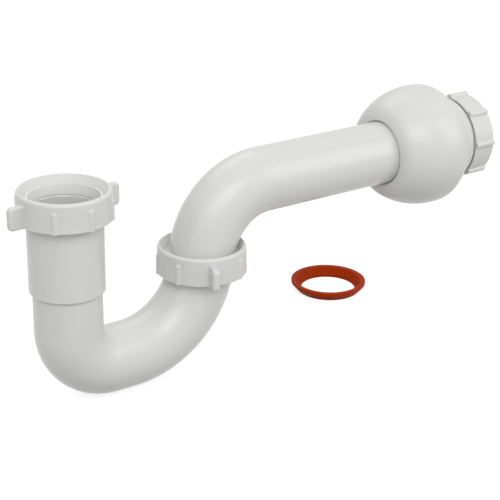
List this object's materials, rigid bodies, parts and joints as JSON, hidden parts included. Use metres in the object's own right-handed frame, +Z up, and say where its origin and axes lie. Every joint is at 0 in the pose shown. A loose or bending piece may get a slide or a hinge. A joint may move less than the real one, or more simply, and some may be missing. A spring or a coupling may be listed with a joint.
{
  "type": "sink p-trap",
  "caption": "White plastic tubular drain trap with a deep bend, ribbed slip nuts and a hollow ball chamber before its outlet, with a loose flared washer.",
  "frame": {"origin": "on the inlet's axis, at the mouth plane of the inlet sleeve", "axes": "+Z up along the inlet, out of its mouth; +X along the outlet tube, out of its mouth; the trap bend and the outlet tube lie in the XZ plane"},
  "size_m": [0.3236, 0.1039, 0.1428],
  "materials": {
    "trap_plastic": "satin white, moulded",
    "nut_plastic": "satin white, moulded",
    "ball_plastic": "satin white, moulded",
    "washer_plastic": "soft white, waxy",
    "red_rubber": "matte to satin, orange red"
  },
  "bodies": {
    "trap": {"j_bend": "trap_plastic", "loose_washer": "red_rubber"},
    "inlet_washer": {"inlet_washer": "washer_plastic"},
    "inlet_nut": {"inlet_nut": "nut_plastic"},
    "union_washer": {"union_washer": "washer_plastic"},
    "union_nut": {"union_nut": "nut_plastic"},
    "outlet_arm": {"wall_tube": "trap_plastic", "ball_chamber": "ball_plastic"},
    "outlet_washer": {"outlet_washer": "washer_plastic"},
    "outlet_nut": {"outlet_nut": "nut_plastic"}
  },
  "joints": [
    {"name": "inlet_lift", "type": "slide", "parent": "trap", "child": "inlet_washer", "axis": [0, 0, 1], "range_m": [0, 0.00883]},
    {"name": "inlet_nut_turn", "type": "hinge", "parent": "inlet_washer", "child": "inlet_nut", "pos_m": [0, 0, 0], "axis": [0, 0, 1], "range_deg": [0, 1440]},
    {"name": "union_lift", "type": "slide", "parent": "trap", "child": "union_washer", "axis": [0, 0, 1], "range_m": [0, 0.00773]},
    {"name": "union_nut_turn", "type": "hinge", "parent": "union_washer", "child": "union_nut", "pos_m": [0.0867, 0, -0.0474], "axis": [0, 0, 1], "range_deg": [0, 1260]},
    {"name": "arm_swivel", "type": "hinge", "parent": "union_washer", "child": "outlet_arm", "pos_m": [0.0867, 0, -0.0494], "axis": [0, 0, 1], "range_deg": [-135, 135]},
    {"name": "outlet_lift", "type": "slide", "parent": "outlet_arm", "child": "outlet_washer", "axis": [1, 0, 0], "range_m": [0, 0.00883]},
    {"name": "outlet_nut_turn", "type": "hinge", "parent": "outlet_washer", "child": "outlet_nut", "pos_m": [0.2824, 0, -0.0125], "axis": [1, 0, 0], "range_deg": [0, 1440]}
  ],
  "couplings": [
    {"joint": "inlet_nut_turn", "follows": "inlet_lift", "rad_per_m": 2844.7},
    {"joint": "union_nut_turn", "follows": "union_lift", "rad_per_m": 2844.7},
    {"joint": "outlet_nut_turn", "follows": "outlet_lift", "rad_per_m": 2844.7}
  ]
}
